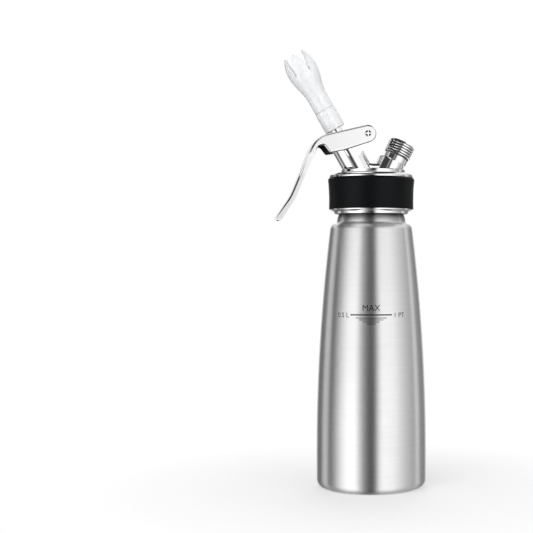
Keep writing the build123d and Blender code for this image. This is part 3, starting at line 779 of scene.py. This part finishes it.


# ---- Painted shade of the screw recesses ---------------------------------------------
def recess_shade_pieces(name, centre, outward):
    """Four near-black corners round a screw's cross, on the head's crown: painted shade of its recess."""
    sideways = UP.cross(outward)
    lift = outward * RECESS_PROUD
    runs = []
    for quarter in range(4):
        sections = []
        for step in range(RECESS_STEPS + 1):
            spots = []
            for radius in (RECESS_INNER, RECESS_OUTER):
                spare = math.asin(RECESS_ARM / radius)
                swept = (math.pi / 2 - 2 * spare) * step / RECESS_STEPS
                turn = math.pi / 2 * quarter + spare + swept
                spots.append(centre + (sideways * math.cos(turn) + UP * math.sin(turn)) * radius)
            inner, outer = spots
            sections.append([inner - lift, inner + lift, outer + lift, outer - lift])
        runs.append(sections)
    return bars(name, runs)


screw_low, screw_high = (Vector(corner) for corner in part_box("pivot_screws"))
screw_middle = (screw_low + screw_high) / 2
for side, face_y in (("front", screw_low.y), ("rear", screw_high.y)):
    crown = Vector((screw_middle.x, face_y, screw_middle.z))
    recess = recess_shade_pieces(f"screw_recess_{side}", crown, Vector((0, face_y, 0)).normalized())
    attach(recess, "lever")
    dress(recess, "polished_steel", ink_and_recess_shade)

# ---- Collar line of the nozzle -------------------------------------------------------
line_bottom = COLLAR_LINE_HEIGHT - COLLAR_LINE_WIDTH / 2
line_top = COLLAR_LINE_HEIGHT + COLLAR_LINE_WIDTH / 2
collar_line = lathe(
    "nozzle_collar_line",
    [
        (COLLAR_LINE_INNER, line_bottom),
        (COLLAR_LINE_OUTER, line_bottom),
        (COLLAR_LINE_OUTER, line_top),
        (COLLAR_LINE_INNER, line_top),
    ],
    COLLAR_LINE_SIDES,
    nozzle_place,
)
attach(collar_line, "nozzle")
dress(collar_line, "white_plastic", shadow_plastic)

# ---- Fill mark -----------------------------------------------------------------------
bottle_mesh = nodes["bottle"].data
bottle_surface = BVHTree.FromPolygons(
    [vertex.co for vertex in bottle_mesh.vertices],
    [polygon.vertices for polygon in bottle_mesh.polygons],
)
mark_centre = direction_at(CAMERA_AZIMUTH)


def on_bottle(across, height, proud):
    """The point of the bottle's front at a height, an arc to the right, standing proud."""
    level = UP * height
    surface = bottle_surface.ray_cast(level + mark_centre, -mark_centre)[0]
    radius = (surface - level).length
    return direction_at(CAMERA_AZIMUTH + across / radius) * (radius + proud) + level


def mark_line(name, height, half_width, thickness):
    """One printed line, a thin strip that follows the bottle's curve."""
    low, high = height - thickness / 2, height + thickness / 2
    corners = ((low, -MARK_PROUD), (high, -MARK_PROUD), (high, MARK_PROUD), (low, MARK_PROUD))
    sections = []
    for step in range(MARK_STEPS + 1):
        across = half_width * (2 * step / MARK_STEPS - 1)
        sections.append([on_bottle(across, level, proud) for level, proud in corners])
    return bars(name, [sections])


def mark_word(name, word, across, height, size):
    """A generic fill mark word or figure, wrapped onto the bottle."""
    text = bpy.data.curves.new(name, "FONT")
    text.body = word
    text.size = size
    text.align_x = "CENTER"
    text.extrude = MARK_PROUD
    text.resolution_u = 4
    mesh = finished_mesh(link_object(name + "_flat", text), name)
    for vertex in mesh.vertices:
        x, y, z = vertex.co
        vertex.co = on_bottle(across + x, height + y, z)
    return link_object(name, mesh)


marks = [
    mark_line(f"fill_line_{number}", MARK_HEIGHT + drop, half_width, thickness)
    for number, (drop, half_width, thickness) in enumerate(MARK_LINES)
]
for name, word, across, rise, size in MARK_WORDS:
    marks.append(mark_word(name, word, across, MARK_HEIGHT + rise, size))
for mark in marks:
    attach(mark, "bottle")
    dress(mark, "brushed_steel", ink_and_recess_shade)


# ---- Floor, light and camera ---------------------------------------------------------
def studio_floor():
    """A white floor that keeps the object's shadow and fades into the background further out."""
    signs = ((-1, -1), (1, -1), (1, 1), (-1, 1))
    corners = [(FLOOR_HALF * x, FLOOR_HALF * y, 0) for x, y in signs]
    floor = mesh_object("studio_floor", corners, [(0, 1, 2, 3)])
    made = Material("floor_white")
    made.set(Base_Color=(0.94, 0.94, 0.94, 1), Roughness=0.7, Specular_IOR_Level=0.1)
    away = made.add("ShaderNodeVectorMath", operation="LENGTH")
    made.link(made.place(), away.inputs[0])
    fade = made.remap(away.outputs["Value"], FLOOR_NEAR, FLOOR_FAR, FLOOR_GLOW, 1.0)
    path = made.add("ShaderNodeLightPath")
    glow = made.add("ShaderNodeEmission")
    blend = made.add("ShaderNodeMixShader")
    made.link(made.maths("MULTIPLY", path.outputs["Is Camera Ray"], fade), blend.inputs["Fac"])
    made.link(made.shader.outputs[0], blend.inputs[1])
    made.link(glow.outputs[0], blend.inputs[2])
    made.link(blend.outputs[0], made.tree.nodes["Material Output"].inputs["Surface"])
    floor.data.materials.append(made.material)
    floor.visible_glossy = False


def studio_world():
    """White to the camera, and the studio's boxes, flags and dark table to everything else."""
    world = bpy.data.worlds.new("studio")
    world.use_nodes = True
    bpy.context.scene.world = world
    world.node_tree.nodes.clear()
    made = Nodes(world.node_tree)
    towards = made.add("ShaderNodeTexCoord").outputs["Generated"]

    def dot(axis):
        node = made.add("ShaderNodeVectorMath", operation="DOT_PRODUCT")
        made.link(towards, node.inputs[0])
        node.inputs[1].default_value = axis
        return node.outputs["Value"]

    def ramp(value, low, high, stops):
        node = made.add("ShaderNodeValToRGB")
        made.link(made.remap(value, low, high), node.inputs["Fac"])
        elements = node.color_ramp.elements
        for number, (place, level) in enumerate(stops):
            position = (place - low) / (high - low)
            element = elements[number] if number < 2 else elements.new(position)
            element.position = position
            element.color = (level, level, level, 1)
        return node.outputs["Color"]

    back = direction_at(CAMERA_AZIMUTH)
    right = UP.cross(back)
    round_it = [(math.radians(turn), level) for turn, level in STUDIO]
    boxes = ramp(made.maths("ARCTAN2", dot(right), dot(back)), -math.pi, math.pi, round_it)
    share = ramp(dot(UP), -1, 1, BOX_SHARE)
    leaning = UP + LEAN_FORWARD * back - LEAN_LEFT * right
    others = ramp(dot(leaning), -LEAN_REACH, LEAN_REACH, ABOVE_BELOW)
    studio = made.mix(share, others, boxes)

    path = made.add("ShaderNodeLightPath")
    seen, through = path.outputs["Is Camera Ray"], path.outputs["Is Transmission Ray"]
    white = made.mix(made.maths("MAXIMUM", seen, through), studio, (1, 1, 1))
    background = made.add("ShaderNodeBackground")
    made.link(white, background.inputs["Color"])
    output = made.add("ShaderNodeOutputWorld")
    made.link(background.outputs[0], output.inputs["Surface"])


def soft_light(name, azimuth, elevation, distance, size, watts):
    """A square soft box that points at the bottle's middle and doesn't show in gloss."""
    data = bpy.data.lights.new(name, "AREA")
    data.shape = "SQUARE"
    data.size = size
    data.energy = watts
    lamp = link_object(name, data)
    out = direction_at(math.radians(azimuth), math.radians(elevation))
    lamp.location = SOFT_BOXES_AIM + out * distance
    lamp.rotation_euler = out.to_track_quat("Z", "Y").to_euler()
    lamp.visible_glossy = False


def photo_camera():
    """The photograph's level view, with the shift that puts the bottle where the photo has it."""
    data = bpy.data.cameras.new("camera")
    data.sensor_width = SENSOR_MM
    data.lens = SENSOR_MM * FOCAL_PIXELS / IMAGE
    data.shift_x = (IMAGE / 2 - AXIS_PIXEL) / IMAGE
    data.shift_y = (HORIZON_PIXEL - IMAGE / 2) / IMAGE
    data.clip_end = 50
    camera = link_object("camera", data)
    back = direction_at(CAMERA_AZIMUTH)
    camera.location = back * CAMERA_DISTANCE + UP * CAMERA_HEIGHT
    camera.rotation_euler = back.to_track_quat("Z", "Y").to_euler()
    bpy.context.scene.camera = camera


studio_floor()
studio_world()
for soft_box in SOFT_BOXES:
    soft_light(*soft_box)
photo_camera()
bpy.context.scene.view_settings.view_transform = "Standard"
